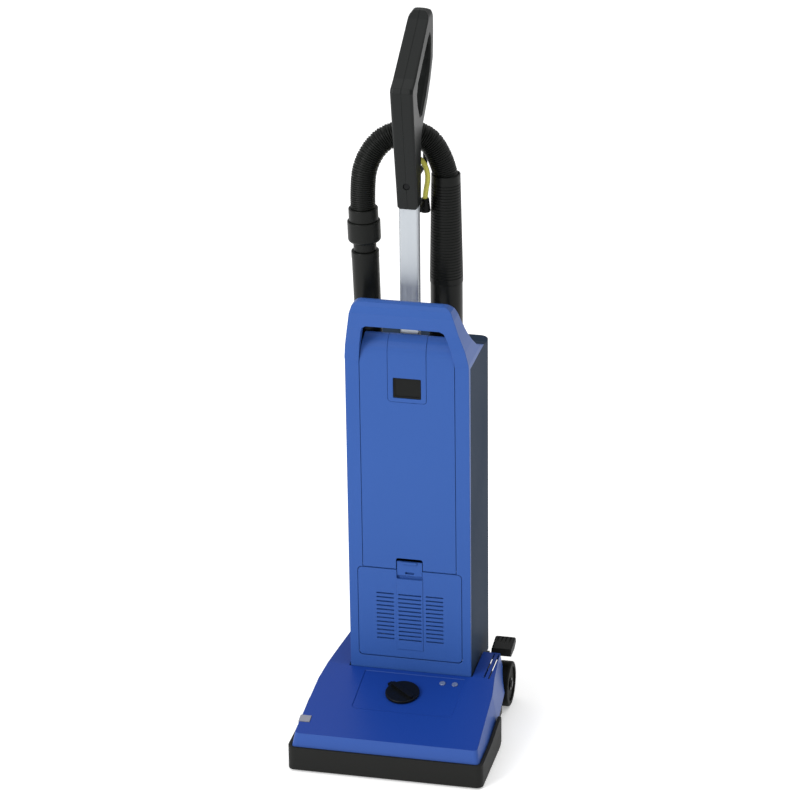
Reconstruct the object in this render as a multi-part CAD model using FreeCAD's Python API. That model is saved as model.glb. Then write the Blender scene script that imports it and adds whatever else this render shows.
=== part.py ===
import FreeCAD, Part
import math
import os

# Upright vacuum cleaner.  Millimetres; X to the machine's own left (a viewer's right),
# -Y to the front, +Z up.  The origin is on the floor under the middle of the machine.

os.makedirs("parts", exist_ok=True)
V = FreeCAD.Vector

# ---- driving dimensions -------------------------------------------------------------
BASE_HW = 156.0                # half width of the bumper
FRONT_Y = -185.0               # front of the bumper
BACK_Y = 185.0                 # tips of the cord hooks
BODY_HW = 98.0                 # half width of the upright body
BODY_BACK = 155.0              # back wall of the body
BODY_BASE = 78.0               # underside of the body
WALL = 2.6                     # moulded wall thickness
GAP = 0.8                      # working gap beside a moving cover

PIVOT_Y = 104.5                # recline pivot, above the wheel axle
PIVOT_Z = 62.0
WHEEL_R = 36.8
WHEEL_IN = 118.0               # inner and outer faces of a wheel
WHEEL_OUT = 144.0

MAST_HW = 15.0                 # flat mast tube
MAST_Y = (20.5, 36.5)
HOSE_D = 38.8
CORD_D = 8.0


# ---- helpers ------------------------------------------------------------------------
def save(name, shape):
    shape.exportStep("parts/" + name + ".step")


def box(x0, x1, y0, y1, z0, z1):
    return Part.makeBox(x1 - x0, y1 - y0, z1 - z0, V(x0, y0, z0))


def rod(radius, start, end):
    run = V(*end) - V(*start)
    return Part.makeCylinder(radius, run.Length, V(*start), run)


def side_plate(points, x0, x1):
    """Plate with the outline (y, z), from x0 to x1."""
    wire = Part.makePolygon([V(x0, y, z) for y, z in points + points[:1]])
    return Part.Face(wire).extrude(V(x1 - x0, 0, 0))


def front_plate(points, y0, y1):
    """Plate with the outline (x, z), from y0 to y1."""
    wire = Part.makePolygon([V(x, y0, z) for x, z in points + points[:1]])
    return Part.Face(wire).extrude(V(0, y1 - y0, 0))


def mirrored(points):
    """Right half outline from the bottom up, closed by its mirror image."""
    return points + [(-x, z) for x, z in reversed(points)]


def round_box(x0, x1, y0, y1, z0, z1, radius, axis="y"):
    """Box with its four edges along one axis rounded."""
    solid = box(x0, x1, y0, y1, z0, z1)
    pick = {"x": 0, "y": 1, "z": 2}[axis]
    edges = []
    for edge in solid.Edges:
        run = edge.Vertexes[1].Point - edge.Vertexes[0].Point
        if abs(run[pick]) > 1e-6:
            edges.append(edge)
    return solid.makeFillet(radius, edges)


def rounded(solid, radius, wanted):
    """Fillets the edges whose middle point satisfies wanted(point)."""
    edges = []
    for edge in solid.Edges:
        middle = edge.valueAt((edge.FirstParameter + edge.LastParameter) / 2)
        if wanted(middle):
            edges.append(edge)
    return solid.makeFillet(radius, edges)


def joined(shapes):
    result = shapes[0]
    for shape in shapes[1:]:
        result = result.fuse(shape)
    return result.removeSplitter()


def cut(shape, *tools):
    for tool in tools:
        shape = shape.cut(tool)
    return shape


# ---- floor head ---------------------------------------------------------------------
HOOD_CREASE = (-175.0, 63.0)
HOOD_SHOULDER = (6.0, 96.5)
POCKET_FRONT = 3.5
POCKET_HW = 100.5
DRAFT = 0.18                   # inward lean of the hood's sides per millimetre of height
TAPER_Y = -36.0                # behind here the hood's sides also close in towards the back
TAPER = 0.094
PANEL_DEPTH = 0.8              # shallow relief round the dial


def hood_block(inset):
    bottom = 41.0
    profile = [
        (-181 + inset, bottom - 1 if inset else bottom),
        (HOOD_CREASE[0] + inset, HOOD_CREASE[1] - inset * 0.9),
        (HOOD_SHOULDER[0], HOOD_SHOULDER[1] - inset),
        (60, 98 - inset),
        (150 - inset, 99 - inset),
        (150 - inset, bottom - 1 if inset else bottom),
    ]
    solid = side_plate(profile, -160, 160)
    sections = []
    for y in (-200.0, TAPER_Y, 200.0):
        half = 150 - inset - TAPER * max(0.0, y - TAPER_Y)
        low = (half + DRAFT * 20, bottom - 20)
        high = (half - DRAFT * 79, bottom + 79)
        corners = [V(x, y, z) for x, z in mirrored([low, high])]
        sections.append(Part.makePolygon(corners + corners[:1]))
    solid = solid.common(Part.makeLoft(sections, True, True))
    if inset:
        return solid
    return rounded(solid, 7, lambda p: p.y < -170 and abs(p.x) > 140)


def make_hood():
    shell = cut(hood_block(0), hood_block(3))
    shell = cut(shell, box(-POCKET_HW, POCKET_HW, POCKET_FRONT, 200, 0, 200))
    inner_walls = [
        box(-POCKET_HW - 2, -POCKET_HW, POCKET_FRONT - 2, 92, 44, 95),
        box(POCKET_HW, POCKET_HW + 2, POCKET_FRONT - 2, 88, 44, 95),
        box(-POCKET_HW - 2, POCKET_HW + 2, POCKET_FRONT - 2, POCKET_FRONT, 44, 93.5),
    ]
    shell = joined([shell] + inner_walls)
    for side in (-1, 1):
        arch = rod(WHEEL_R + 4.5, (side * 112, PIVOT_Y, WHEEL_R), (side * 170, PIVOT_Y, WHEEL_R))
        x0, x1 = sorted((side * 100, side * 170))
        below = box(x0, x1, PIVOT_Y, 200, 0, 82)
        shell = cut(shell, arch, below)
    shell = cut(shell, box(100, 170, 89, 200, 0, 200))
    dial_hole = rod(6.4, (DIAL[0], DIAL[1], 60), (DIAL[0], DIAL[1], 110))
    panel = round_box(-72, 90, -48, 80, -PANEL_DEPTH, 8, 9, "z")
    panel.rotate(V(0, 0, 0), V(1, 0, 0), SLOPE)
    panel.translate(V(DIAL[0], DIAL[1], hood_top(DIAL[1])))
    panel = cut(panel, box(-100, 100, POCKET_FRONT - 8, 100, 0, 200))
    shell = cut(shell, dial_hole, panel)
    for x in LENS_X:
        shell = cut(shell, rod(4.2, (x, LENS_Y, 70), (x, LENS_Y, 110)))
    shell = cut(shell, box(-160, -128.4, -146.6, -130.4, 60, 90))
    for x, y0, y1 in ((119.4, 5, 86), (127.2, 3, 84)):
        shell = cut(shell, round_box(x - 1.2, x + 1.2, y0, y1, 90, 110, 1.1, "z"))
    return shell


def make_bumper():
    outline = [(FRONT_Y, 3), (FRONT_Y, 42), (-110, 43.5), (-40, 54), (-36, 50), (-36, 8), (-44, 3)]
    outer = side_plate(outline, -BASE_HW, BASE_HW)
    outer = rounded(outer, 11, lambda p: p.y < FRONT_Y + 1 and abs(p.x) > BASE_HW - 1)
    inner = round_box(-150.8, 150.8, FRONT_Y + 3.6, 0, -5, 80, 7, "z")
    return cut(outer, inner)


BRUSH_Y = -132.0
BRUSH_Z = 27.0
DUCT_X = (-60.0, -20.0)
DUCT_Z = (10.0, 34.0)
HEAD_SCREWS = ((-140, -103), (140, -103), (-128, 40), (128, 40), (-60, 52), (60, 52))


def make_chassis():
    tray = box(-147, 147, -176, TAPER_Y - 4, 6, 39)
    tray = rounded(tray, 10, lambda p: p.y < -175 and abs(p.x) > 146)
    tray = joined([tray, box(-137, 137, TAPER_Y - 4, 60, 6, 39)])
    hollow = [
        box(-143.5, 143.5, -172, -162, 9, 40),
        box(-136, 136, -159, -104, -1, 40),
        box(-133.5, 133.5, -101, 57, 9, 40),
    ]
    arms = []
    for side in (-1, 1):
        x0, x1 = sorted((side * 102.8, side * 109.5))
        arms.append(side_plate([(40, 10), (114, 20), (118, 50), (100, 60), (40, 39)], x0, x1))
        x0, x1 = sorted((side * 84.0, side * 91.0))
        ear = side_plate([(40, 9), (100, 40), (114, 52), (114, 70), (96, 70), (40, 38)], x0, x1)
        arms.append(ear)
    body = cut(tray, *hollow)
    body = joined([body] + arms)
    holes = [
        rod(5.0, (-200, PIVOT_Y, WHEEL_R), (200, PIVOT_Y, WHEEL_R)),
        rod(6.0, (-200, PIVOT_Y, PIVOT_Z), (200, PIVOT_Y, PIVOT_Z)),
        rod(6.0, (-150, BRUSH_Y, BRUSH_Z), (-130, BRUSH_Y, BRUSH_Z)),
        rod(6.0, (130, BRUSH_Y, BRUSH_Z), (150, BRUSH_Y, BRUSH_Z)),
        box(105.5, 118.5, -108, -98, 9, 45),
        box(DUCT_X[0], DUCT_X[1], -108, -98, DUCT_Z[0], DUCT_Z[1]),
    ]
    for x, y in HEAD_SCREWS:
        holes.append(rod(2.0, (x, y, 0), (x, y, 20)))
    return cut(body, *holes)


def make_glides():
    pads = []
    for x in (-118, 118):
        pad = round_box(x - 14, x + 14, -98, -66, 0, 6, 6, "z")
        pads.append(pad)
    for x in (-60, 60):
        pads.append(round_box(x - 20, x + 20, -174.5, -163, 0, 6, 5, "z"))
    return Part.makeCompound(pads)


def make_wheel(side):
    inner = side * WHEEL_IN
    outer = side * WHEEL_OUT
    tyre = rod(WHEEL_R, (inner, PIVOT_Y, WHEEL_R), (outer, PIVOT_Y, WHEEL_R))
    tyre = rounded(tyre, 3, lambda p: abs(p.x) > 100)
    dish = rod(28, (outer - side * 2.5, PIVOT_Y, WHEEL_R), (outer + side, PIVOT_Y, WHEEL_R))
    back = rod(29, (inner - side, PIVOT_Y, WHEEL_R), (inner + side * 9, PIVOT_Y, WHEEL_R))
    boss = rod(11, (inner - side * 3, PIVOT_Y, WHEEL_R), (inner + side * 12, PIVOT_Y, WHEEL_R))
    bore = rod(5.06, (inner - side * 9, PIVOT_Y, WHEEL_R), (outer + side * 9, PIVOT_Y, WHEEL_R))
    return cut(joined([cut(tyre, dish, back), boss]), bore)


def make_axle():
    end = WHEEL_OUT - 2.9
    return rod(5.0, (-end, PIVOT_Y, WHEEL_R), (end, PIVOT_Y, WHEEL_R))


def make_hub_cap(side):
    face = side * (WHEEL_OUT - 2.3)
    flange = rod(10, (face, PIVOT_Y, WHEEL_R), (face + side * 1.6, PIVOT_Y, WHEEL_R))
    dome = rod(7, (face, PIVOT_Y, WHEEL_R), (face + side * 3.6, PIVOT_Y, WHEEL_R))
    dome = rounded(dome, 2.5, lambda p: abs(p.x) > WHEEL_OUT)
    return joined([flange, dome])


def make_brush_core():
    core = rod(15, (-124, BRUSH_Y, BRUSH_Z), (124, BRUSH_Y, BRUSH_Z))
    pulley = rod(19, (106, BRUSH_Y, BRUSH_Z), (118, BRUSH_Y, BRUSH_Z))
    groove = cut(
        rod(25, (108, BRUSH_Y, BRUSH_Z), (116, BRUSH_Y, BRUSH_Z)),
        rod(16.5, (107, BRUSH_Y, BRUSH_Z), (117, BRUSH_Y, BRUSH_Z)),
    )
    ends = rod(5.0, (-141, BRUSH_Y, BRUSH_Z), (141, BRUSH_Y, BRUSH_Z))
    return joined([cut(joined([core, pulley]), groove), ends])


def make_bristles():
    rows = []
    for index in range(4):
        strip = box(-118, 102, BRUSH_Y - 2.5, BRUSH_Y + 2.5, BRUSH_Z + 15, BRUSH_Z + 24)
        strip.rotate(V(0, BRUSH_Y, BRUSH_Z), V(1, 0, 0), 45 + 90 * index)
        rows.append(strip)
    return Part.makeCompound(rows)


def make_brush_bearings():
    rings = []
    for side in (-1, 1):
        ring = rod(9, (side * 125.5, BRUSH_Y, BRUSH_Z), (side * 135.6, BRUSH_Y, BRUSH_Z))
        sleeve = rod(6, (side * 135.0, BRUSH_Y, BRUSH_Z), (side * 143.0, BRUSH_Y, BRUSH_Z))
        bore = rod(5.06, (side * 120, BRUSH_Y, BRUSH_Z), (side * 150, BRUSH_Y, BRUSH_Z))
        rings.append(cut(joined([ring, sleeve]), bore))
    return Part.makeCompound(rings)


MOTOR_Y = -52.0
MOTOR_Z = 38.0


def make_brush_motor():
    can = rod(22, (-12, MOTOR_Y, MOTOR_Z), (96, MOTOR_Y, MOTOR_Z))
    foot = box(-6, 76, MOTOR_Y - 16, MOTOR_Y + 16, 9, MOTOR_Z - 8)
    bore = rod(4.1, (70, MOTOR_Y, MOTOR_Z), (110, MOTOR_Y, MOTOR_Z))
    return cut(joined([can, foot]), bore)


def make_motor_pulley():
    shaft = rod(4.0, (72, MOTOR_Y, MOTOR_Z), (120, MOTOR_Y, MOTOR_Z))
    wheel = rod(10, (106, MOTOR_Y, MOTOR_Z), (118, MOTOR_Y, MOTOR_Z))
    groove = cut(
        rod(14, (108, MOTOR_Y, MOTOR_Z), (116, MOTOR_Y, MOTOR_Z)),
        rod(8.2, (107, MOTOR_Y, MOTOR_Z), (117, MOTOR_Y, MOTOR_Z)),
    )
    return joined([cut(wheel, groove), shaft])


def make_belt():
    """Drive belt round the roller's pulley and the motor's, standing just off both."""
    x0, x1 = 109.0, 115.0
    clear = 0.35
    loops = []
    for grow in (0, 1.4):
        roller = 16.5 + clear + grow
        motor = 8.2 + clear + grow
        run = V(0, MOTOR_Y - BRUSH_Y, MOTOR_Z - BRUSH_Z)
        angle = math.atan2(run.z, run.y)
        spread = math.acos((roller - motor) / run.Length)
        ends = []
        for turn in (spread, -spread):
            a = angle + turn
            ends.append((BRUSH_Y + roller * math.cos(a), BRUSH_Z + roller * math.sin(a)))
            ends.append((MOTOR_Y + motor * math.cos(a), MOTOR_Z + motor * math.sin(a)))
        web = side_plate([ends[0], ends[1], ends[3], ends[2]], x0, x1)
        round_a = rod(roller, (x0, BRUSH_Y, BRUSH_Z), (x1, BRUSH_Y, BRUSH_Z))
        round_b = rod(motor, (x0, MOTOR_Y, MOTOR_Z), (x1, MOTOR_Y, MOTOR_Z))
        loops.append(joined([web, round_a, round_b]))
    return cut(loops[1], loops[0])


DIAL = (0.0, -54.0)
SLOPE = math.degrees(math.atan2(HOOD_SHOULDER[1] - HOOD_CREASE[1], HOOD_SHOULDER[0] - HOOD_CREASE[0]))


def hood_top(y):
    rise = (HOOD_SHOULDER[1] - HOOD_CREASE[1]) / (HOOD_SHOULDER[0] - HOOD_CREASE[0])
    return HOOD_CREASE[1] + (y - HOOD_CREASE[0]) * rise


def make_dial():
    """Built upright over the origin, then laid on the hood's slope."""
    disc = rod(27.2, (0, 0, 0.5), (0, 0, 4.6))
    disc = rounded(disc, 1.2, lambda p: p.z > 4)
    grip = round_box(-25, 25, -4, 4, 4, 9.5, 3.5, "z")
    grip.rotate(V(0, 0, 0), V(0, 0, 1), -38)
    pointer = box(22, 32, -4, 4, 0.5, 4.6)
    pointer.rotate(V(0, 0, 0), V(0, 0, 1), 142)
    stem = rod(4.5, (0, 0, -14), (0, 0, 1))
    dial = joined([disc, grip, pointer, stem])
    dial.rotate(V(0, 0, 0), V(1, 0, 0), SLOPE)
    dial.translate(V(DIAL[0], DIAL[1], hood_top(DIAL[1])))
    return dial


LENS_X = (57.0, 77.0)
LENS_Y = -19.0


def make_lenses():
    lenses = []
    for x in LENS_X:
        cap = rod(5, (0, 0, 0), (0, 0, 1.6))
        cap = rounded(cap, 0.9, lambda p: p.z > 1)
        stem = rod(3.0, (0, 0, -6), (0, 0, 0.5))
        lens = joined([cap, stem])
        lens.rotate(V(0, 0, 0), V(1, 0, 0), SLOPE)
        lens.translate(V(x, LENS_Y, hood_top(LENS_Y) - PANEL_DEPTH))
        lenses.append(lens)
    return Part.makeCompound(lenses)


def make_brush_release():
    proud = 0.9
    key = box(-147.0, -129, -146, -131, 62.8, 80)
    slope = [(y, hood_top(y) + proud) for y in (-130, -150)]
    key = cut(key, side_plate([(-150, 90), (-130, 90)] + slope, -160, -120))
    return rounded(key, 1.2, lambda p: p.z > 66 and p.x < -146)


PEDAL_AXIS = (97.0, 88.0)


def make_pedal():
    outline = [(90.5, 94), (96, 103), (128, 109), (136, 105), (137, 97), (128, 92), (94, 91)]
    top = side_plate(outline, 112, 145)
    top = rounded(top, 3.5, lambda p: abs(p.x - 128.5) > 16 and p.z > 93)
    for x in (118.5, 125.2, 131.8, 138.5):
        top = cut(top, box(x - 1.4, x + 1.4, 97, 131, 105.8, 120))
    stem = box(113, 124, 93, 101, 84, 93)
    arm = joined([top, stem])
    return cut(arm, rod(3.06, (100, PEDAL_AXIS[0], PEDAL_AXIS[1]), (150, PEDAL_AXIS[0], PEDAL_AXIS[1])))


def make_pedal_bracket():
    plate = box(102.8, 107.4, 88, 106, 62, 92)
    plate = joined([plate, box(102.8, 107.4, 80, 112, 60.4, 66)])
    pin = rod(3.0, (103, PEDAL_AXIS[0], PEDAL_AXIS[1]), (126, PEDAL_AXIS[0], PEDAL_AXIS[1]))
    return joined([plate, pin])


def make_pivot_shaft():
    return rod(6.0, (-92, PIVOT_Y, PIVOT_Z), (92, PIVOT_Y, PIVOT_Z))


def make_suction_duct():
    """Duct from the brush chamber back to the body's inlet."""
    x0, x1 = DUCT_X
    z0, z1 = DUCT_Z
    outer = box(x0, x1, -104, 57, z0, z1)
    return cut(outer, box(x0 + 3, x1 - 3, -110, 54, z0 + 3, z1 - 3))


def make_head_screws():
    screws = []
    for x, y in HEAD_SCREWS:
        head = rod(4.5, (x, y, 3.4), (x, y, 6))
        shank = rod(2.0, (x, y, 5), (x, y, 9))
        slot = box(x - 3, x + 3, y - 0.6, y + 0.6, 3, 4.4)
        screws.append(cut(joined([head, shank]), slot))
    return Part.makeCompound(screws)


# ---- upright body -------------------------------------------------------------------
SHOULDER_Z = 634.0             # where the body starts to narrow
TOP_Z = 742.0
FRONT_LINE = [
    (5.5, BODY_BASE), (5.5, 96), (-1.5, 628), (-12, 660), (-26, 692), (-36, 722), (-35.5, 734),
    (-32, TOP_Z - 2), (-26, TOP_Z),
]
BACK_LINE = [
    (-19, TOP_Z - 1), (-8, 728), (6, 704), (22, 680), (40, 661), (60, 646), (84, 634), (112, 624),
    (130, 621),
]
DECK_Z = 621.0
SEAM_Y = 9.0                   # parting plane of the front frame and the rear shell


def front_at(z):
    for (y0, z0), (y1, z1) in zip(FRONT_LINE[1:-1], FRONT_LINE[2:]):
        if z <= z1:
            return y0 + (y1 - y0) * (z - z0) / (z1 - z0)
    return FRONT_LINE[-1][0]


def body_outline(inset):
    half = BODY_HW - inset
    return mirrored([
        (half, BODY_BASE + inset),
        (half, SHOULDER_Z),
        (half - 3.5, 660),
        (half - 11.5, 698),
        (half - 16, 721 - inset),
        (half - 20.5, 734 - inset),
        (half - 27, 739.5 - inset),
        (half - 36, TOP_Z - inset),
    ])


def make_body_block():
    profile = FRONT_LINE + BACK_LINE + [(BODY_BACK, DECK_Z), (BODY_BACK, BODY_BASE)]
    solid = side_plate(profile, -BODY_HW, BODY_HW)
    solid = solid.common(front_plate(body_outline(0), -60, 200))
    return rounded(solid, 16, lambda p: p.y > BODY_BACK - 1 and abs(p.x) > BODY_HW - 1 and 100 < p.z < 600)


DOOR_HW = 75.0
DOOR_BASE = 275.0
DOOR_TOP = 671.0
EXH_HW = 83.5
EXH_Z = (118.4, 273.3)
NOTCH_HW = 21.0
STRIP_HW = 30.4
STRIP_BASE = 564.0
KEY_HW = 21.8
KEY_Z = (571.0, 604.0)
OPEN_HW = 65.0                 # half width and lower face of the carrying bar
OPEN_Z = 697.0


def opening_outline(grow):
    return mirrored([
        (DOOR_HW + grow, DOOR_BASE - 20),
        (DOOR_HW + grow, 628),
        (DOOR_HW - 3.5 + grow, 658),
        (OPEN_HW + 1 + grow, 686),
        (OPEN_HW - 1.5 + grow, OPEN_Z - 4 + grow),
        (OPEN_HW - 8 + grow, OPEN_Z + grow),
    ])


def make_front_frame(block):
    front = block.common(box(-120, 120, -60, SEAM_Y, 60, 800))
    hood_part = block.common(box(-120, 120, SEAM_Y, 112, DECK_Z + 4, 800))
    frame = joined([front, hood_part])
    opening = front_plate(opening_outline(GAP), -60, 300)
    frame = cut(frame, opening.common(box(-120, 120, -60, 300, DOOR_BASE - 4, 760)))
    hollow = [
        (5, DECK_Z), (-1, 664), (-12, OPEN_Z - 2), (-23, 722), (-21, 734), (-6, 746), (160, 746),
        (160, DECK_Z + 2),
    ]
    behind = side_plate(hollow, -DOOR_HW - 8, DOOR_HW + 8)
    behind = behind.common(front_plate(mirrored([(83, 600), (83, 648), (76, 706), (70, 750)]), -60, 200))
    frame = cut(frame, behind)
    low, high = EXH_Z
    frame = cut(frame, round_box(-EXH_HW - GAP, EXH_HW + GAP, -60, 60, low - 1.8, high + GAP, 7))
    return cut(frame, wand_rod(22.8, 0.2, 0.6))


def make_rear_shell(block):
    shell = block.common(box(-120, 120, SEAM_Y, 200, 60, DECK_Z + 4))
    half = BODY_HW - WALL
    inner = box(-half, half, SEAM_Y - 1, BODY_BACK - WALL, BODY_BASE + WALL, DECK_Z - WALL)
    inner = rounded(inner, 14, lambda p: p.y > BODY_BACK - 4 and abs(p.x) > BODY_HW - 4)
    shell = cut(shell, inner)
    slot = box(-MAST_HW - 0.4, MAST_HW + 0.4, MAST_Y[0] - 0.4, MAST_Y[1] + 0.4, 600, 700)
    shell = cut(shell, slot)
    shell = cut(shell, rod(PORT_R - 4, (PORT[0], PORT[1], 600), (PORT[0], PORT[1], 700)))
    shell = cut(shell, wand_rod(24.4, 0.0, 1.2))
    return shell


def make_pivot_lugs():
    lugs = []
    for side in (-1, 1):
        x0, x1 = sorted((side * 70.0, side * 82.5))
        ear = side_plate([(84, BODY_BASE), (92, 60), (117, 60), (125, BODY_BASE)], x0, x1)
        round_end = rod(13, (x0, PIVOT_Y, PIVOT_Z), (x1, PIVOT_Y, PIVOT_Z))
        lug = joined([ear, round_end.common(box(-100, 100, 80, 130, 40, 70))])
        lugs.append(cut(lug, rod(6.06, (-100, PIVOT_Y, PIVOT_Z), (100, PIVOT_Y, PIVOT_Z))))
    return Part.makeCompound(lugs)


def door_crown(y, z):
    """Rounded top of the door's face, from (y, z) up and back."""
    curve = []
    for step in range(6):
        a = math.radians(step * 11)
        curve.append((y + 22 * (1 - math.cos(a)), z + 28 * math.sin(a)))
    return curve


def make_bag_door():
    z0 = DOOR_BASE
    thick = 4.5
    face = [(front_at(z0), z0), (front_at(600), 600), (-1.4, 640)]
    crown = door_crown(-1.4, 643) + [(13.6, DOOR_TOP - 0.5), (18, DOOR_TOP)]
    back = [(18, DOOR_TOP - 2), (13, 668), (6, 655), (3.4, 640)]
    low = [(front_at(600) + thick, 600), (front_at(z0) + thick, z0)]
    door = side_plate(face + crown + back + low, -DOOR_HW, DOOR_HW)
    door = door.common(front_plate(opening_outline(0), -60, 60))
    door = cut(door, round_box(-NOTCH_HW - 0.6, NOTCH_HW + 0.6, -60, 60, 200, 294, 4))
    slot = STRIP_HW + 0.5
    edge = STRIP_HW + 6
    z1 = STRIP_BASE - 8
    door = cut(door, round_box(-slot, slot, -60, 60, STRIP_BASE - 0.5, 720, 5.5))
    rail = box(-edge, edge, 5.2, 7.8, z1, 640)
    rail = cut(rail, box(-KEY_HW - 1, KEY_HW + 1, 0, 20, KEY_Z[0] - 1, KEY_Z[1] + 1))
    door = joined([door, rail, box(-edge, -slot, 2, 6, z1, 640), box(slot, edge, 2, 6, z1, 640)])
    pins = rod(1.26, (-80, DOOR_PIN[0], DOOR_PIN[1]), (80, DOOR_PIN[0], DOOR_PIN[1]))
    return cut(door, pins)


DOOR_PIN = (5.9, 278.4)
EXH_PIN = (7.6, 122.2)
VENT_ROWS = 12
VENT_TOP = 230.0
VENT_PITCH = 7.25
VENT_HEIGHT = 2.2


def make_latch_strip():
    face = [(front_at(STRIP_BASE) - 0.3, STRIP_BASE), (front_at(600) - 0.3, 600), (-1.7, 640)]
    crown = door_crown(-1.7, 643.3) + [(13.6, DOOR_TOP), (18, DOOR_TOP + 0.5)]
    back = [(18, DOOR_TOP - 2), (13, 668), (6, 655), (3.4, 640), (4.6, STRIP_BASE)]
    strip = side_plate(face + crown + back, -STRIP_HW, STRIP_HW)
    strip = strip.common(round_box(-STRIP_HW, STRIP_HW, -60, 60, STRIP_BASE, 720, 5))
    hw = KEY_HW + 0.5
    return cut(strip, round_box(-hw, hw, -20, 40, KEY_Z[0] - 0.5, KEY_Z[1] + 0.5, 2))


def make_latch_key():
    key = round_box(-KEY_HW, KEY_HW, -0.4, 7.4, KEY_Z[0], KEY_Z[1], 1.6)
    key = cut(key, box(-KEY_HW + 2.5, KEY_HW - 2.5, -5, 0.5, KEY_Z[0] + 2.5, KEY_Z[1] - 2.5))
    return key


def make_exhaust_door():
    z0, z1 = EXH_Z
    low = front_at(z0)
    high = front_at(z1)
    outline = [(low - 0.2, z0), (high - 0.2, z1), (high + 4.4, z1), (low + 4.4, z0)]
    skin = side_plate(outline, -EXH_HW, EXH_HW)
    skin = skin.common(round_box(-EXH_HW, EXH_HW, -50, 50, z0, z1, 6.5))
    outline = [(front_at(133) - 1.0, 133), (high - 1.0, z1), (8, z1), (8, 133)]
    strip = side_plate(outline, -NOTCH_HW, NOTCH_HW)
    skin = joined([skin, strip])
    skin = cut(skin, round_box(-NOTCH_HW, NOTCH_HW, -20, 30, 258, 300, 3))
    skin = joined([skin, box(-NOTCH_HW, NOTCH_HW, 7.6, 9.4, 254, z1)])
    for row in range(VENT_ROWS):
        z = VENT_TOP - row * VENT_PITCH
        for x0, x1 in ((-54, -26), (-18.5, 18.5), (26, 54)):
            skin = cut(skin, box(x0, x1, -20, 30, z - VENT_HEIGHT / 2, z + VENT_HEIGHT / 2))
    return cut(skin, rod(1.26, (-90, EXH_PIN[0], EXH_PIN[1]), (90, EXH_PIN[0], EXH_PIN[1])))


def make_exhaust_latch():
    tab = box(-NOTCH_HW + 0.6, NOTCH_HW - 0.6, front_at(270) + 1.0, front_at(270) + 4.0, 264, 288)
    lip = box(-12, 12, front_at(270) - 1.0, front_at(270) + 1.5, 284, 288)
    return cut(joined([tab, lip]), box(-7, 7, -20, 30, 266.5, 270))


def make_hinge_pins():
    pins = []
    for (y, z), hw in ((DOOR_PIN, DOOR_HW), (EXH_PIN, EXH_HW)):
        for side in (-1, 1):
            pins.append(rod(1.2, (side * (hw - 5), y, z), (side * (hw + 4), y, z)))
    y, z = SWITCH
    pins.append(rod(1.5, (-9, y, z), (9, y, z)))
    return Part.makeCompound(pins)


PORT = (44.5, 85.0)
COLLAR_Z = (DECK_Z + 4, 662.0)
PORT_R = 27.0
WAND_TOP = (-73.2, 40.0, 797.0)
WAND_LEAN = (0.0315, 0.0, -1.0)


def wand_point(drop):
    return tuple(WAND_TOP[i] + WAND_LEAN[i] * drop for i in range(3))


def wand_rod(radius, start, end, length=350.0):
    return rod(radius, wand_point(start * length), wand_point(end * length))


def make_wand():
    axis = V(*WAND_LEAN)
    collar = Part.makeCylinder(21.5, 12, V(*wand_point(0)), axis)
    collar = rounded(collar, 2.0, lambda p: p.z > 796)
    taper = Part.makeCone(21.2, 19.6, 340, V(*wand_point(10)), axis)
    bore = Part.makeCylinder(15.4, 400, V(*wand_point(-10)), axis)
    return cut(joined([collar, taper]), bore)


def make_wand_socket():
    outer = wand_rod(23.9, 178 / 350.0, 365 / 350.0)
    inner = wand_rod(21.9, 0.3, 359 / 350.0)
    return cut(outer, inner)


def make_port_collar():
    outer = rod(PORT_R, (PORT[0], PORT[1], COLLAR_Z[0]), (PORT[0], PORT[1], COLLAR_Z[1]))
    outer = rounded(outer, 2.5, lambda p: p.z > 660)
    lower = rod(PORT_R - 4.4, (PORT[0], PORT[1], 590), (PORT[0], PORT[1], COLLAR_Z[0] + 2))
    return cut(joined([outer, lower]), rod(18, (PORT[0], PORT[1], 580), (PORT[0], PORT[1], 680)))


SLEEVE_TOP = (PORT[0], PORT[1], 913.0)
SLEEVE_MID = (PORT[0], PORT[1], 738.0)


def make_sleeve():
    base = V(*SLEEVE_MID)
    top = V(*SLEEVE_TOP)
    axis = top - base
    length = axis.Length
    wide = 26.0
    narrow = 22.4
    grooves = 33
    pitch = 4.7
    width = 1.8
    depth = 1.1
    body = Part.makeCone(wide, narrow, length, base, axis)
    axis.normalize()
    for index in range(grooves):
        along = 9 + index * pitch
        at = base + axis * along
        floor = wide - (wide - narrow) * along / length - depth
        ring = cut(Part.makeCylinder(28, width, at, axis), Part.makeCylinder(floor, width, at, axis))
        body = cut(body, ring)
    return cut(body, Part.makeCylinder(HOSE_D / 2 + 0.6, 300, base - axis * 10, axis))


def make_hose_cuff():
    base = (PORT[0], PORT[1], COLLAR_Z[1])
    outer = rod(25, base, SLEEVE_MID)
    outer = rounded(outer, 1.5, lambda p: p.z > 730)
    return cut(outer, rod(17.5, (PORT[0], PORT[1], 655), (PORT[0], PORT[1], 760)))


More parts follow.
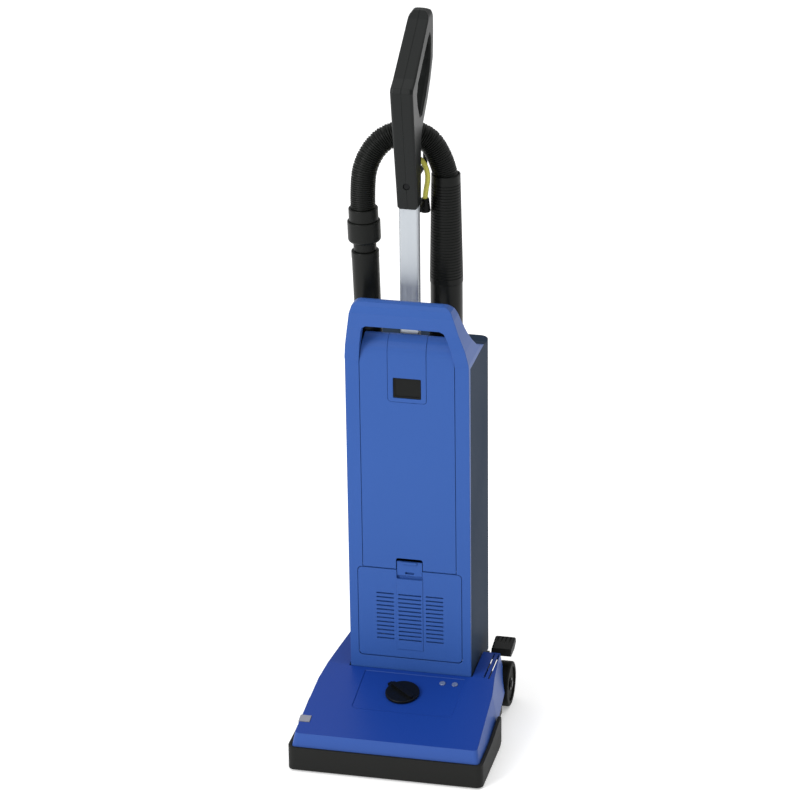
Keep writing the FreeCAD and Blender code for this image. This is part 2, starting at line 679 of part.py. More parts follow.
def bend_tube(points, radius):
    """Tube of straight runs joined by tangent arcs; prints each arc's radius."""
    pts = [V(*p) for p in points]
    edges = []
    here = pts[0]
    for before, corner, after in zip(pts, pts[1:], pts[2:]):
        into = (corner - before).normalize()
        out = (after - corner).normalize()
        turn = into.getAngle(out)
        reach = 0.45 * min((corner - before).Length, (after - corner).Length)
        bend = reach / math.tan(turn / 2)
        start = corner - into * reach
        end = corner + out * reach
        inward = (out - into).normalize()
        centre = corner + inward * (bend / math.cos(turn / 2))
        middle = centre - inward * bend
        edges.append(Part.makeLine(here, start))
        edges.append(Part.Arc(start, middle, end).toShape())
        here = end
        print("bend radius", round(bend, 1))
    edges.append(Part.makeLine(here, pts[-1]))
    path = Part.Wire(edges)
    circle = Part.Circle(pts[0], (pts[1] - pts[0]).normalize(), radius)
    profile = Part.Wire([circle.toShape()])
    tube = path.makePipeShell([profile], True, False, 1)
    ratio = tube.Volume / (math.pi * radius ** 2 * path.Length)
    print("tube length", round(path.Length, 1), "volume ratio", round(ratio, 4))
    return tube


HOSE_ROUTE = [
    (-75.1, 40.0, 858.0),
    (-76.4, 40.0, 884.0),
    (-73.2, 44.6, 938.4),
    (-42.7, 63.8, 979.4),
    (13.6, 80.0, 979.4),
    (41.4, 84.3, 931.2),
    (PORT[0], PORT[1], 905.0),
]


def make_hose():
    return bend_tube(HOSE_ROUTE, HOSE_D / 2)


def make_cuff_collar():
    outer = rod(22.8, wand_point(-49.2), wand_point(-69))
    outer = rounded(outer, 1.5, lambda p: p.z > 864)
    return cut(outer, rod(HOSE_D / 2, wand_point(-61), wand_point(-80)))


def make_swivel_cuff():
    outer = rod(25.5, wand_point(-14), wand_point(-48.6))
    outer = rounded(outer, 6, lambda p: p.z < 813)
    outer = rounded(outer, 1.5, lambda p: p.z > 843)
    neck = rod(17.7, wand_point(-0.6), wand_point(-18))
    return joined([outer, neck])


# ---- mast and handle ----------------------------------------------------------------
HANDLE_HW = 17.8
HANDLE_TOP = 1165.0
HANDLE_BASE = 877.0
BOLT_Z = 915.5


def make_mast():
    tube = round_box(-MAST_HW, MAST_HW, MAST_Y[0], MAST_Y[1], 560, 965, 3, "z")
    bore = round_box(-MAST_HW + 2, MAST_HW - 2, MAST_Y[0] + 2, MAST_Y[1] - 2, 550, 975, 1.5, "z")
    return cut(tube, bore, rod(3.3, (0, 0, BOLT_Z), (0, 60, BOLT_Z)))


def make_mast_socket():
    block = box(-MAST_HW - 4, MAST_HW + 4, MAST_Y[0] - 4, MAST_Y[1] + 4, 552, DECK_Z - 2.8)
    return cut(block, round_box(-MAST_HW, MAST_HW, MAST_Y[0], MAST_Y[1], 560, 700, 3, "z"))


HANDLE_OUTER = [
    (15, HANDLE_BASE), (9.7, 908), (-21.5, 1074), (-18, 1081), (1, 1090), (47, 1120), (97, 1153),
    (108, 1163.5), (117, HANDLE_TOP), (126, 1160), (130.5, 1148), (129, 1125), (123, 1085), (105, 1055),
    (84, 1030), (54, 1003), (42, 985), (40, 960), (39.5, HANDLE_BASE),
]
HANDLE_HOLE = [
    (16, 1046), (13, 1062), (20, 1076), (54, 1099), (92, 1124), (104, 1130), (109, 1124), (108, 1110),
    (103, 1090), (88, 1066), (69, 1043), (44, 1021), (30, 1022),
]


def handle_front():
    """Outline of the handle seen from the front, with its round top."""
    top = []
    crown = 14.0
    for step in range(7):
        a = math.radians(15 * step)
        top.append((2.2 + crown * math.cos(a), HANDLE_TOP - crown + crown * math.sin(a)))
    base = [(12.6, HANDLE_BASE), (15.8, HANDLE_BASE + 3.2), (HANDLE_HW, 1077)]
    return mirrored(base + top)


def make_handle_half(side):
    x0, x1 = sorted((side * 0.1, side * HANDLE_HW))
    half = side_plate(HANDLE_OUTER, x0, x1)
    half = cut(half, side_plate(HANDLE_HOLE, x0 - 1, x1 + 1))
    half = rounded(half, 5.0, lambda p: abs(abs(p.x) - HANDLE_HW) < 0.01)
    half = half.common(front_plate(handle_front(), -60, 200))
    half = cut(half, box(-MAST_HW, MAST_HW, MAST_Y[0], MAST_Y[1], 800, 965))
    y, z = SWITCH
    x0, x1 = sorted((side * 0.1, side * 10.5))
    half = joined([half, box(x0, x1, y - 4.4, y + 1.6, z - 14, z + 14)])
    half = cut(half, box(-7, 7, y - 4.4, y + 10, z - 11.2, z + 11.2))
    recess = rod(5.4, (0, -20, BOLT_Z), (0, 12.5, BOLT_Z))
    return cut(half, recess, rod(3.3, (0, 0, BOLT_Z), (0, 60, BOLT_Z)))


def make_handle_bolt():
    head = rod(5.0, (0, 9.8, BOLT_Z), (0, 12.4, BOLT_Z))
    head = rounded(head, 1.0, lambda p: p.y < 10)
    return joined([head, rod(3.0, (0, 12, BOLT_Z), (0, 39, BOLT_Z))])


GLAND = (15.0, 70.0)
GLAND_TOP = 876.0


def make_cord_gland():
    arm = round_box(6, 16.5, 39.5, 70, 864, 874, 3, "y")
    boot = Part.makeCone(8.6, 6.2, GLAND_TOP - 854, V(GLAND[0], GLAND[1], 854))
    boot = rounded(boot, 2.5, lambda p: p.z < 855)
    return joined([arm, boot])


HOOK_UP = (7.0, 918.0)


def make_handle_hook():
    x, z = HOOK_UP
    stub = rod(3.5, (x, 39.5, z), (x, 108, z))
    tip = rod(3.5, (x, 108, z - 3), (x, 108, z + 36))
    tip = rounded(tip, 2, lambda p: p.z > z + 34)
    flange = rod(7.5, (x, 39.5, z), (x, 44, z))
    return joined([stub, tip, flange])


SWITCH = (41.0, 895.0)         # rocker on the back of the handle


def make_power_switch():
    y, z = SWITCH
    rocker = round_box(-6.5, 6.5, y - 2.6, y + 2.6, z - 10, z + 10, 1.0, "x")
    return cut(rocker, rod(1.56, (-20, y, z), (20, y, z)))


CORD_ROUTE = [
    (GLAND[0], GLAND[1], GLAND_TOP),
    (16.5, 69.3, 890.0),
    (20.2, 67.5, 906.0),
    (19.5, 66.5, 924.0),
    (9.5, 70.5, 940.0),
    (-4.5, 77.5, 936.0),
    (-12.5, 88.0, 915.0),
    (-15.0, 101.0, 888.0),
    (-13.0, 119.0, 852.0),
    (-14.0, 142.0, 803.0),
    (-20.0, 157.5, 755.0),
    (-28.0, 164.5, 707.0),
    (-39.0, 165.5, 660.0),
    (-54.0, 164.0, 615.0),
    (-65.0, 162.0, 575.0),
]


def make_cord_lead():
    return bend_tube(CORD_ROUTE, CORD_D / 2)


HANK_Y = (157.5, 179.5)
HANK_Z = (300.0, 545.0)        # centres of the two turns of the wound cord
HANK_R = (26.0, 71.0)          # inner and outer radius of those turns


def racetrack(radius):
    y0, y1 = HANK_Y
    top = rod(radius, (0, y0, HANK_Z[1]), (0, y1, HANK_Z[1]))
    bottom = rod(radius, (0, y0, HANK_Z[0]), (0, y1, HANK_Z[0]))
    return joined([top, bottom, box(-radius, radius, y0, y1, HANK_Z[0], HANK_Z[1])])


def make_cord_hank():
    return cut(racetrack(HANK_R[1]), racetrack(HANK_R[0]))


def make_cord_hook(z, turn):
    post = rod(20, (0, BODY_BACK + 0.4, z), (0, BACK_Y - 4.8, z))
    lip = round_box(-16, 16, BACK_Y - 5.0, BACK_Y, z - 20, z + 74, 8)
    hook = joined([post, lip])
    hook.rotate(V(0, 0, z), V(0, 1, 0), turn)
    return hook


def make_plug():
    return round_box(-16, 16, 158.5, 178.5, 395, 437, 6)


# ---- inside the body ----------------------------------------------------------------
def make_bag():
    return round_box(-36, 72, 24, 140, 300, 545, 24, "z")


def make_bag_collar():
    plate = round_box(-6, 72, 50, 122, 549, 553, 8, "z")
    return joined([plate, rod(20, (PORT[0], PORT[1], 545.5), (PORT[0], PORT[1], 588))])


def make_fan_housing():
    can = rod(62, (0, 84, 150), (0, 84, 232))
    eye = rod(58, (0, 84, 153), (0, 84, 240))
    return cut(can, eye, rod(7, (0, 84, 140), (0, 84, 160)))


def make_suction_motor():
    lower = rod(46, (0, 84, 100), (0, 84, 149.6))
    return cut(lower, rod(5.1, (0, 84, 95), (0, 84, 160)))


def make_fan():
    disc = rod(54, (0, 84, 200), (0, 84, 214))
    shaft = rod(5.04, (0, 84, 104), (0, 84, 206))
    return joined([disc, shaft])


def make_exhaust_filter():
    return box(-76, 76, 13, 19, 126, 262)


def make_bag_shelf():
    edge = BODY_HW - WALL - 0.1
    plate = round_box(-edge, edge, SEAM_Y + 1, BODY_BACK - WALL - 0.1, 270, 274, 15, "z")
    return cut(plate, rod(40, (0, 84, 260), (0, 84, 280)))


# ---- build --------------------------------------------------------------------------
block = make_body_block()

save("bumper", make_bumper())
save("hood", make_hood())
save("chassis", make_chassis())
save("glide_pads", make_glides())
save("axle", make_axle())
save("pivot_shaft", make_pivot_shaft())
save("suction_duct", make_suction_duct())
save("brush_bearings", make_brush_bearings())
save("brush_motor", make_brush_motor())
save("drive_belt", make_belt())
save("indicator_lenses", make_lenses())
save("pedal_bracket", make_pedal_bracket())
save("head_screws", make_head_screws())
save("wheel_left", make_wheel(-1))
save("wheel_right", make_wheel(1))
save("hub_cap_left", make_hub_cap(-1))
save("hub_cap_right", make_hub_cap(1))
save("brush_core", make_brush_core())
save("brush_bristles", make_bristles())
save("motor_pulley", make_motor_pulley())
save("height_dial", make_dial())
save("brush_release", make_brush_release())
save("foot_pedal", make_pedal())

save("rear_shell", make_rear_shell(block))
save("front_frame", make_front_frame(block))
save("pivot_lugs", make_pivot_lugs())
save("bag_door", make_bag_door())
save("latch_strip", make_latch_strip())
save("latch_key", make_latch_key())
save("exhaust_door", make_exhaust_door())
save("exhaust_latch", make_exhaust_latch())
save("hinge_pins", make_hinge_pins())
save("wand", make_wand())
save("wand_socket", make_wand_socket())
save("port_collar", make_port_collar())
save("hose_sleeve", make_sleeve())
save("hose_cuff", make_hose_cuff())
save("hose", make_hose())
save("cuff_collar", make_cuff_collar())
save("swivel_cuff", make_swivel_cuff())
save("mast_tube", make_mast())
save("mast_socket", make_mast_socket())
save("handle_left", make_handle_half(-1))
save("handle_right", make_handle_half(1))
save("handle_bolt", make_handle_bolt())
save("cord_gland", make_cord_gland())
save("power_switch", make_power_switch())
save("handle_hook", make_handle_hook())
save("cord_lead", make_cord_lead())
save("cord_hank", make_cord_hank())
save("cord_plug", make_plug())
save("cord_hook_top", make_cord_hook(HANK_Z[1], 0))
save("cord_hook_bottom", make_cord_hook(HANK_Z[0], 180))
save("filter_bag", make_bag())
save("bag_collar", make_bag_collar())
save("fan_housing", make_fan_housing())
save("suction_motor", make_suction_motor())
save("fan", make_fan())
save("exhaust_filter", make_exhaust_filter())
save("bag_shelf", make_bag_shelf())
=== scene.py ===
import math
import random

import bmesh
import bpy
from mathutils import Matrix, Vector


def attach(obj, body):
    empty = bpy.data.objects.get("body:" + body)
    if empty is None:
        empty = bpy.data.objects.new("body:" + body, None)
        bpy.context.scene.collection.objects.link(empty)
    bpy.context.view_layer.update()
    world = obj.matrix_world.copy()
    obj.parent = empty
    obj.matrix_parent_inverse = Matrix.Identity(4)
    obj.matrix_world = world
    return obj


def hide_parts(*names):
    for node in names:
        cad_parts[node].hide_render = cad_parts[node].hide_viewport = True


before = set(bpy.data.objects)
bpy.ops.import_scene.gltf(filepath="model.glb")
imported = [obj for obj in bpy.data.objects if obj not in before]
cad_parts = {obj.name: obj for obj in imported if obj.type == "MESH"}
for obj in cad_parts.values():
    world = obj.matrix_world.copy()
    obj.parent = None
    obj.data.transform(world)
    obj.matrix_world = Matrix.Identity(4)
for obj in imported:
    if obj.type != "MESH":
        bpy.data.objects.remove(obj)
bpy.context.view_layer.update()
MM = 0.001

# ---- camera ---------------------------------------------------------------------------
AZIMUTH, ELEVATION, ROLL = (math.radians(a) for a in (13.253, 23.508, -0.643))
DISTANCE = 6.04327
TARGET = Vector((-0.011451, 0.0, 0.567295))
LENS = 176.05


def make_camera():
    data = bpy.data.cameras.new("camera")
    data.lens = LENS
    data.sensor_width = 36
    data.clip_start = 0.1
    data.clip_end = 60
    camera = bpy.data.objects.new("camera", data)
    bpy.context.scene.collection.objects.link(camera)
    flat = math.cos(ELEVATION)
    back = Vector((math.sin(AZIMUTH) * flat, -math.cos(AZIMUTH) * flat, math.sin(ELEVATION)))
    level = Vector((math.cos(AZIMUTH), math.sin(AZIMUTH), 0))
    up = back.cross(level)
    right = level * math.cos(ROLL) + up * math.sin(ROLL)
    up = back.cross(right)
    turn = Matrix((right, up, back)).transposed().to_4x4()
    camera.matrix_world = Matrix.Translation(TARGET + back * DISTANCE) @ turn
    bpy.context.scene.camera = camera


make_camera()


# ---- light and floor ------------------------------------------------------------------
def area_light(name, place, aim, width, height, power):
    data = bpy.data.lights.new(name, "AREA")
    data.shape = "RECTANGLE"
    data.size = width
    data.size_y = height
    data.energy = power
    lamp = bpy.data.objects.new(name, data)
    bpy.context.scene.collection.objects.link(lamp)
    lamp.location = place
    lamp.rotation_mode = "QUATERNION"
    lamp.rotation_quaternion = (Vector(aim) - Vector(place)).to_track_quat("-Z", "Y")


WORLD = 0.5                    # strength of the plain surroundings
KEY = 128.0                    # watts, from the front left
TOP = 230.0                    # watts, the wide overhead panel


def make_light():
    world = bpy.data.worlds.new("studio")
    bpy.context.scene.world = world
    world.use_nodes = True
    world.node_tree.nodes["Background"].inputs["Color"].default_value = (1, 1, 1, 1)
    world.node_tree.nodes["Background"].inputs["Strength"].default_value = WORLD
    area_light("key", (-2.4, -3.4, 2.6), (0, 0, 0.5), 2.0, 2.4, KEY)
    area_light("top", (0.0, 2.0, 5.5), (0, 2.0, 0.0), 9.0, 9.0, TOP)
    bpy.context.scene.view_settings.view_transform = "Standard"


make_light()


def make_floor():
    mesh = bpy.data.meshes.new("floor")
    mesh.from_pydata([(-9, -9, 0), (9, -9, 0), (9, 9, 0), (-9, 9, 0)], [], [(0, 1, 2, 3)])
    floor = bpy.data.objects.new("floor", mesh)
    bpy.context.scene.collection.objects.link(floor)
    material = bpy.data.materials.new("floor_paper")
    material.use_nodes = True
    tree = material.node_tree
    shader = tree.nodes["Principled BSDF"]
    shader.inputs["Base Color"].default_value = (0.95, 0.95, 0.95, 1)
    shader.inputs["Specular IOR Level"].default_value = 0.0
    shader.inputs["Emission Color"].default_value = (1, 1, 1, 1)
    shader.inputs["Emission Strength"].default_value = 0.3
    noise = tree.nodes.new("ShaderNodeTexNoise")
    noise.inputs["Scale"].default_value = 30
    ramp = tree.nodes.new("ShaderNodeMapRange")
    ramp.inputs["To Min"].default_value = 0.9
    ramp.inputs["To Max"].default_value = 1.0
    tree.links.new(noise.outputs["Fac"], ramp.inputs["Value"])
    tree.links.new(ramp.outputs["Result"], shader.inputs["Roughness"])
    mesh.materials.append(material)


make_floor()


# ---- materials ------------------------------------------------------------------------
class Surface:
    """A principled material whose texture is laid out in object space, in metres."""

    def __init__(self, name, **uniform):
        self.material = bpy.data.materials.new(name)
        self.material.use_nodes = True
        self.tree = self.material.node_tree
        self.shader = self.tree.nodes["Principled BSDF"]
        for key, value in uniform.items():
            self.shader.inputs[key.replace("_", " ")].default_value = value
        self.place = self.tree.nodes.new("ShaderNodeTexCoord").outputs["Object"]
        self.normal = None

    def node(self, kind, **values):
        made = self.tree.nodes.new("ShaderNode" + kind)
        for key, value in values.items():
            made.inputs[key.replace("_", " ")].default_value = value
        return made

    def link(self, start, end):
        self.tree.links.new(start, end)

    def noise(self, scale, detail=2.0, stretch=None):
        made = self.node("TexNoise", Scale=scale, Detail=detail)
        source = self.place
        if stretch:
            mapping = self.node("Mapping", Scale=stretch)
            self.link(self.place, mapping.inputs["Vector"])
            source = mapping.outputs["Vector"]
        self.link(source, made.inputs["Vector"])
        return made.outputs["Fac"]

    def spread(self, fac, low, high, start=0.3, stop=0.7):
        made = self.node("MapRange", From_Min=start, From_Max=stop, To_Min=low, To_Max=high)
        self.link(fac, made.inputs["Value"])
        return made.outputs["Result"]

    def colour(self, base, other, fac):
        mix = self.tree.nodes.new("ShaderNodeMix")
        mix.data_type = "RGBA"
        mix.inputs[6].default_value = (*base, 1)
        mix.inputs[7].default_value = (*other, 1)
        self.link(fac, mix.inputs["Factor"])
        self.link(mix.outputs[2], self.shader.inputs["Base Color"])

    def facing_up(self):
        """0 on upright faces, 1 on faces that look upwards."""
        made = self.tree.nodes.new("ShaderNodeSeparateXYZ")
        self.link(self.tree.nodes["Texture Coordinate"].outputs["Normal"], made.inputs["Vector"])
        return self.spread(made.outputs["Z"], 0.0, 1.0, 0.45, 0.95)

    def roughness(self, fac):
        self.link(fac, self.shader.inputs["Roughness"])

    def edge(self, radius):
        """Softens the moulding's sharp corners where light catches them."""
        made = self.tree.nodes.new("ShaderNodeBevel")
        made.samples = 4
        made.inputs["Radius"].default_value = radius
        self.normal = made.outputs["Normal"]
        self.link(self.normal, self.shader.inputs["Normal"])

    def bump(self, height, strength, distance):
        made = self.node("Bump", Strength=strength, Distance=distance)
        self.link(height, made.inputs["Height"])
        if self.normal:
            self.link(self.normal, made.inputs["Normal"])
        self.normal = made.outputs["Normal"]
        self.link(self.normal, self.shader.inputs["Normal"])


def shade(colour, factor):
    return tuple(min(1.0, c * factor) for c in colour)


def moulded(name, base, rough, edge=0.0008, grain=0.00002, spec=0.15, vary=0.03):
    """Moulded plastic: fine spark-eroded texture, faint flow variation and rubbed patches."""
    surface = Surface(name, Specular_IOR_Level=spec)
    surface.colour(shade(base, 1 - vary), shade(base, 1 + vary), surface.noise(5, 1))
    surface.roughness(surface.spread(surface.noise(7, 1), rough - 0.02, rough + 0.04))
    surface.edge(edge)
    surface.bump(surface.noise(1800, 1), 0.15, grain)
    return surface.material


BLUE = (0.030, 0.093, 0.335)
BLACK = (0.0050, 0.0056, 0.0054)

blue_shell = moulded("blue_shell", BLUE, 0.42, 0.0014, 0.00002, 0.16)
# Rear shell: the same blue plastic as the front, painted darker and greyer as painted shade and painted
# grazing reflection on its sides.
blue_rear_painted_shade = moulded("blue_rear_painted_shade", (0.020, 0.036, 0.066), 0.55, 0.0012, 0.00002, 0.03)
black_handle = moulded("black_handle", (0.0066, 0.0080, 0.0078), 0.38, 0.0014, 0.00004, 0.2)
black_part = moulded("black_part", BLACK, 0.46, 0.0006, 0.00004)
black_bumper = moulded("black_bumper", (0.0105, 0.0108, 0.0100), 0.55, 0.0016, 0.00008)
black_hose = moulded("black_hose", (0.0052, 0.0060, 0.0052), 0.36, 0.0006, 0.00003, 0.17)
black_dark = moulded("black_dark", (0.0035, 0.0042, 0.0050), 0.34, 0.0005, 0.00002, 0.16)
grey_key = moulded("grey_key", (0.25, 0.255, 0.30), 0.5, 0.0006, 0.00003)
tyre = moulded("tyre", (0.0050, 0.0054, 0.0046), 0.6, 0.001, 0.00008, 0.1)
card = moulded("card", (0.42, 0.33, 0.21), 0.75, 0.0005, 0.0001)


def hood_plastic():
    """The hood's upper face is painted a deeper blue than its front and sides: painted shade on the top,
    where less key light falls on the same plastic.
    """
    surface = Surface("blue_hood", Specular_IOR_Level=0.14)
    # Upward faces take the darker blue: painted shade, not a different plastic.
    surface.colour((0.034, 0.088, 0.330), (0.0085, 0.044, 0.270), surface.facing_up())
    surface.roughness(surface.spread(surface.noise(7, 1), 0.34, 0.40))
    surface.edge(0.0016)
    surface.bump(surface.noise(1800, 1), 0.15, 0.00002)
    return surface.material


blue_hood = hood_plastic()


def brushed(name, base, rough, stretch, edge=0.0006):
    """Drawn or turned metal with fine lines along its length."""
    surface = Surface(name, Metallic=1.0)
    lines = surface.noise(420, 3, stretch)
    surface.colour(shade(base, 0.9), shade(base, 1.05), lines)
    surface.roughness(surface.spread(lines, rough - 0.05, rough + 0.1))
    surface.edge(edge)
    surface.bump(lines, 0.25, 0.00003)
    return surface.material


mast_metal = brushed("mast_metal", (0.50, 0.53, 0.56), 0.52, (1, 1, 0.02))
steel = brushed("steel", (0.52, 0.53, 0.55), 0.3, (0.05, 1, 1))


def clear_lens():
    surface = Surface("clear_lens", IOR=1.49, Transmission_Weight=0.45)
    surface.colour((0.12, 0.18, 0.40), (0.34, 0.42, 0.62), surface.noise(160, 2))
    surface.roughness(surface.spread(surface.noise(300), 0.1, 0.24))
    surface.edge(0.0006)
    return surface.material


def filter_paper():
    surface = Surface("filter_paper", Sheen_Weight=0.2)
    fibres = surface.noise(520, 6)
    surface.colour((0.58, 0.54, 0.45), (0.7, 0.66, 0.57), fibres)
    surface.roughness(surface.spread(fibres, 0.8, 0.95))
    surface.bump(fibres, 0.5, 0.0003)
    return surface.material


def cord_sheath():
    surface = Surface("cord_sheath", Specular_IOR_Level=0.3)
    surface.colour((0.66, 0.63, 0.10), (0.72, 0.69, 0.13), surface.noise(60, 3))
    surface.roughness(surface.spread(surface.noise(240), 0.34, 0.5))
    surface.bump(surface.noise(900), 0.3, 0.00005)
    return surface.material


lens_plastic = clear_lens()
paper = filter_paper()
cord_yellow = cord_sheath()
bristle_nylon = moulded("bristle_nylon", (0.03, 0.03, 0.034), 0.45, 0.0002, 0.00002)
roller_plastic = moulded("roller_plastic", (0.07, 0.072, 0.078), 0.4, 0.0008, 0.00005)

FINISH = {
    "hood": blue_hood,
    "front_frame": blue_shell,
    "rear_shell": blue_rear_painted_shade,
    "bag_door": blue_shell,
    "latch_strip": blue_shell,
    "exhaust_door": blue_shell,
    "exhaust_latch": blue_shell,
    "bumper": black_bumper,
    "glide_pads": black_bumper,
    "handle_left": black_handle,
    "handle_right": black_handle,
    "height_dial": black_dark,
    "wheel_left": tyre,
    "wheel_right": tyre,
    "drive_belt": tyre,
    "mast_tube": mast_metal,
    "brush_release": grey_key,
    "indicator_lenses": lens_plastic,
    "brush_core": roller_plastic,
    "filter_bag": paper,
    "exhaust_filter": paper,
    "bag_collar": card,
}
for name in ("hose_sleeve", "hose_cuff", "cuff_collar", "swivel_cuff", "wand", "port_collar"):
    FINISH[name] = black_hose
METAL = (
    "axle", "pivot_shaft", "brush_bearings", "head_screws", "hinge_pins", "suction_motor", "brush_motor",
)
for name in METAL:
    FINISH[name] = steel
for name in ("hub_cap_left", "hub_cap_right", "handle_bolt"):
    FINISH[name] = black_dark

for name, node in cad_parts.items():
    material = FINISH.get(name, black_part)
    node.data.materials.clear()
    node.data.materials.append(material)


# ---- helpers for the pieces -----------------------------------------------------------
def new_piece(name, mesh, material, body):
    mesh.materials.append(material)
    piece = bpy.data.objects.new(name, mesh)
    bpy.context.scene.collection.objects.link(piece)
    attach(piece, body)
    return piece


def route_curve(name, points, bevel=0.0):
    """One NURBS spline with the route's points, in millimetres, as its control points."""
    data = bpy.data.curves.new(name, "CURVE")
    data.dimensions = "3D"
    data.resolution_u = 8
    data.bevel_depth = bevel
    data.bevel_resolution = 5
    spline = data.splines.new("NURBS")
    spline.points.add(len(points) - 1)
    for point, place in zip(spline.points, points):
        point.co = (place[0] * MM, place[1] * MM, place[2] * MM, 1)
    spline.order_u = 3
    spline.use_endpoint_u = True
    return data


def route_line(points, step):
    """Points along the route's spline, evenly spaced by about step metres."""
    curve = bpy.data.objects.new("route", route_curve("route", points))
    bpy.context.scene.collection.objects.link(curve)
    bpy.context.view_layer.update()
    mesh = bpy.data.meshes.new_from_object(curve)
    raw = [v.co.copy() for v in mesh.vertices]
    bpy.data.objects.remove(curve)
    bpy.data.meshes.remove(mesh)
    reach = [0.0]
    for a, b in zip(raw, raw[1:]):
        reach.append(reach[-1] + (b - a).length)
    count = max(8, round(reach[-1] / step))
    line = []
    index = 0
    for k in range(count + 1):
        want = reach[-1] * k / count
        while index < len(raw) - 2 and reach[index + 1] < want:
            index += 1
        span = max(reach[index + 1] - reach[index], 1e-9)
        line.append(raw[index].lerp(raw[index + 1], min(1.0, (want - reach[index]) / span)))
    return line


def sweep(line, radius_at, sides):
    """Tube along a line, its radius given by the distance from the start."""
    vertices = []
    faces = []
    travelled = 0.0
    tangent = (line[1] - line[0]).normalized()
    across = tangent.orthogonal().normalized()
    for k, place in enumerate(line):
        ahead = line[min(k + 1, len(line) - 1)]
        behind = line[max(k - 1, 0)]
        new_tangent = (ahead - behind).normalized()
        across = tangent.rotation_difference(new_tangent) @ across
        tangent = new_tangent
        if k:
            travelled += (place - line[k - 1]).length
        other = tangent.cross(across).normalized()
        radius = radius_at(travelled)
        for s in range(sides):
            angle = 2 * math.pi * s / sides
            vertices.append(place + (across * math.cos(angle) + other * math.sin(angle)) * radius)
        if k:
            low = (k - 1) * sides
            high = k * sides
            for s in range(sides):
                t = (s + 1) % sides
                faces.append((low + s, low + t, high + t, high + s))
    faces.append(tuple(range(sides - 1, -1, -1)))
    top = (len(line) - 1) * sides
    faces.append(tuple(range(top, top + sides)))
    mesh = bpy.data.meshes.new("sweep")
    mesh.from_pydata([tuple(v) for v in vertices], [], faces)
    for face in mesh.polygons:
        face.use_smooth = len(face.vertices) == 4
    return mesh


# ---- suction hose ---------------------------------------------------------------------
HOSE_D = 38.8
PORT = (44.5, 85.0)
HOSE_ROUTE = [
    (-75.1, 40.0, 858.0),
    (-76.4, 40.0, 884.0),
    (-73.2, 44.6, 938.4),
    (-42.7, 63.8, 979.4),
    (13.6, 80.0, 979.4),
    (41.4, 84.3, 931.2),
    (PORT[0], PORT[1], 905.0),
]
HOSE_PITCH = 3.3 * MM


def hose_radius(distance):
    """Rounded crests with a narrow root between them, as a wound corrugated hose has."""
    phase = math.pi * distance / HOSE_PITCH
    crest = abs(math.sin(phase)) ** 0.7
    return (HOSE_D / 2 - 2.0 + 1.9 * crest) * MM


def make_hose():
    line = route_line(HOSE_ROUTE[::-1], HOSE_PITCH / 8)
    mesh = sweep(line, hose_radius, 56)
    piece = new_piece("corrugated_hose", mesh, black_hose, "upright")
    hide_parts("hose")


make_hose()


# ---- mains lead -----------------------------------------------------------------------
CORD_D = 8.0
GLAND = (15.0, 70.0, 876.0)
CORD_ROUTE = [
    GLAND,
    (16.5, 69.3, 890.0),
    (20.2, 67.5, 906.0),
    (19.5, 66.5, 924.0),
    (9.5, 70.5, 940.0),
    (-4.5, 77.5, 936.0),
    (-12.5, 88.0, 915.0),
    (-15.0, 101.0, 888.0),
    (-13.0, 119.0, 852.0),
    (-14.0, 142.0, 803.0),
    (-20.0, 157.5, 755.0),
    (-28.0, 164.5, 707.0),
    (-39.0, 165.5, 660.0),
    (-54.0, 164.0, 615.0),
    (-65.0, 162.0, 575.0),
]
HANK_Z = (300.0, 545.0)
TURNS = 5
LAYERS = ((161.6, 62.0, -8.0), (168.4, 34.0, 8.0), (175.3, 62.0, -8.0))


def winding():
    """Turns round the two hooks: outwards in, back out and in again, one layer on the next."""
    points = []
    for y, start, step in LAYERS:
        for turn in range(TURNS):
            radius = start + step * turn
            nearer = radius + step / 2
            for angle in range(180, 361, 30):
                a = math.radians(angle)
                points.append((radius * math.cos(a), y, HANK_Z[0] + radius * math.sin(a)))
            for angle in range(0, 181, 30):
                a = math.radians(angle)
                r = radius + (nearer - radius) * angle / 180
                points.append((r * math.cos(a), y, HANK_Z[1] + r * math.sin(a)))
    return points


PLUG_TOP = (0.0, 168.5, 437.0)
TAIL = [(-24.0, 172.0, 505.0), (-14.0, 169.5, 478.0), (-3.0, 168.5, 462.0), PLUG_TOP]


def loft(sections, sides, power=3.0):
    """Closed form through rounded rectangles (height, half width, half depth), bottom to top."""
    vertices = []
    faces = []
    for row, (height, wide, deep) in enumerate(sections):
        for s in range(sides):
            a = 2 * math.pi * s / sides
            c = math.cos(a)
            d = math.sin(a)
            x = math.copysign(abs(c) ** (2 / power), c) * wide
            y = math.copysign(abs(d) ** (2 / power), d) * deep
            vertices.append((x * MM, y * MM, height * MM))
        if row:
            low = (row - 1) * sides
            high = row * sides
            for s in range(sides):
                t = (s + 1) % sides
                faces.append((low + s, low + t, high + t, high + s))
    faces.append(tuple(range(sides - 1, -1, -1)))
    top = (len(sections) - 1) * sides
    faces.append(tuple(range(top, top + sides)))
    mesh = bpy.data.meshes.new("loft")
    mesh.from_pydata(vertices, [], faces)
    for face in mesh.polygons:
        face.use_smooth = len(face.vertices) == 4
    return mesh


PLUG_LENGTH = 42.0             # blade tips to the end of the relief
PLUG_BLADE = 16.5


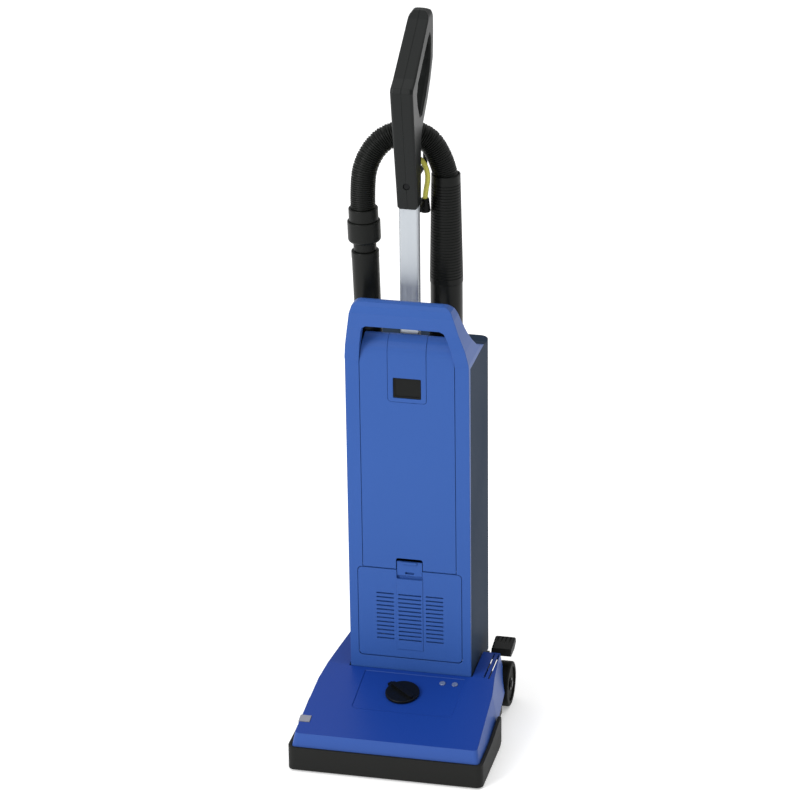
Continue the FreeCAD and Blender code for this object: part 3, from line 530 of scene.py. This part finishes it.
def make_plug():
    """Moulded mains plug: blades downwards, gripped waist, tapered relief round the cord."""
    x, y, top = PLUG_TOP
    base = top - PLUG_LENGTH + PLUG_BLADE
    sections = [
        (base, 14.2, 8.2), (base + 0.5, 15.2, 9.2), (base + 1.6, 15.8, 9.8), (base + 6, 15.8, 9.8),
        (base + 8, 14.6, 8.9), (base + 10, 14.2, 8.6), (base + 12, 14.0, 8.7), (base + 14, 12.2, 8.2),
        (base + 16.5, 9.2, 7.3), (base + 18.5, 7.2, 6.6), (base + 20, 6.6, 6.2), (base + 21, 5.9, 5.8),
        (base + 22, 6.2, 6.0), (base + 23, 5.5, 5.5), (base + 24, 5.8, 5.7), (base + 25, 5.1, 5.1),
        (top, 4.9, 4.9),
    ]
    body = new_piece("plug_body", loft(sections, 48), black_handle, "upright")
    body.location = (x * MM, y * MM, 0)
    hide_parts("cord_plug")
    end = top - PLUG_LENGTH
    flat_blade = [(end, 0.5, 2.2), (end + 1, 0.75, 3.0), (base + 1, 0.75, 3.15)]
    ground_pin = [(end, 1.2, 1.2), (end + 1.5, 2.4, 2.4), (base + 1, 2.4, 2.4)]
    whole = bmesh.new()
    for form, dx, dy in ((flat_blade, -6.3, -1.5), (flat_blade, 6.3, -1.5), (ground_pin, 0.0, 4.6)):
        pin = loft(form, 20, 4.0)
        pin.transform(Matrix.Translation((dx * MM, dy * MM, 0)))
        whole.from_mesh(pin)
        bpy.data.meshes.remove(pin)
    mesh = bpy.data.meshes.new("plug_blades")
    whole.to_mesh(mesh)
    whole.free()
    pins = new_piece("plug_blades", mesh, steel, "upright")
    pins.location = (x * MM, y * MM, 0)


def make_cord():
    data = route_curve("mains_lead", CORD_ROUTE + winding() + TAIL, CORD_D / 2 * MM)
    lead = bpy.data.objects.new("mains_lead", data)
    bpy.context.scene.collection.objects.link(lead)
    data.materials.append(cord_yellow)
    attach(lead, "upright")
    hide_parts("cord_lead", "cord_hank")


make_plug()
make_cord()


# ---- brush roller bristles ------------------------------------------------------------
BRUSH = Vector((0.0, -132.0, 27.0)) * MM
ROWS = 4
ROW_X = (-118.0, 102.0)
TUFT_PITCH = 7.6
TUFT_R = (14.6, 23.9)          # bristle roots and tips, from the roller's axis
FILAMENTS = 9
FILAMENT_R = 0.55


def filament(mesh, root, tip, radius):
    """One bristle: a thin four-sided spike."""
    along = (tip - root).normalized()
    across = along.orthogonal().normalized()
    other = along.cross(across)
    ring = []
    for turn in range(4):
        a = math.pi * turn / 2
        ring.append(mesh.verts.new(root + (across * math.cos(a) + other * math.sin(a)) * radius))
    end = []
    for turn in range(4):
        a = math.pi * turn / 2
        end.append(mesh.verts.new(tip + (across * math.cos(a) + other * math.sin(a)) * radius * 0.6))
    for turn in range(4):
        after = (turn + 1) % 4
        mesh.faces.new((ring[turn], ring[after], end[after], end[turn]))
    mesh.faces.new(ring[::-1])
    mesh.faces.new(end)


def make_bristles():
    """Rows of tufts, each a spread of filaments, in place of the plain strips."""
    pick = random.Random(7)
    mesh = bmesh.new()
    count = int((ROW_X[1] - ROW_X[0]) / TUFT_PITCH)
    for row in range(ROWS):
        for index in range(count):
            x = ROW_X[0] + (index + 0.5) * TUFT_PITCH
            middle = math.radians(45 + 90 * row)
            for k in range(FILAMENTS):
                lean = 2 * math.pi * k / FILAMENTS
                root_x = x + 1.1 * math.cos(lean)
                tip_x = x + 2.9 * math.cos(lean) + pick.uniform(-0.5, 0.5)
                root_a = middle + 0.06 * math.sin(lean)
                tip_a = middle + 0.10 * math.sin(lean) + pick.uniform(-0.02, 0.02)
                reach = TUFT_R[1] - pick.uniform(0.0, 0.6)
                root = Vector((root_x, -TUFT_R[0] * math.sin(root_a), TUFT_R[0] * math.cos(root_a)))
                tip = Vector((tip_x, -reach * math.sin(tip_a), reach * math.cos(tip_a)))
                filament(mesh, BRUSH + root * MM, BRUSH + tip * MM, FILAMENT_R * MM)
    data = bpy.data.meshes.new("bristles")
    mesh.to_mesh(data)
    mesh.free()
    piece = new_piece("bristle_tufts", data, bristle_nylon, "brush")
    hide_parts("brush_bristles")


make_bristles()
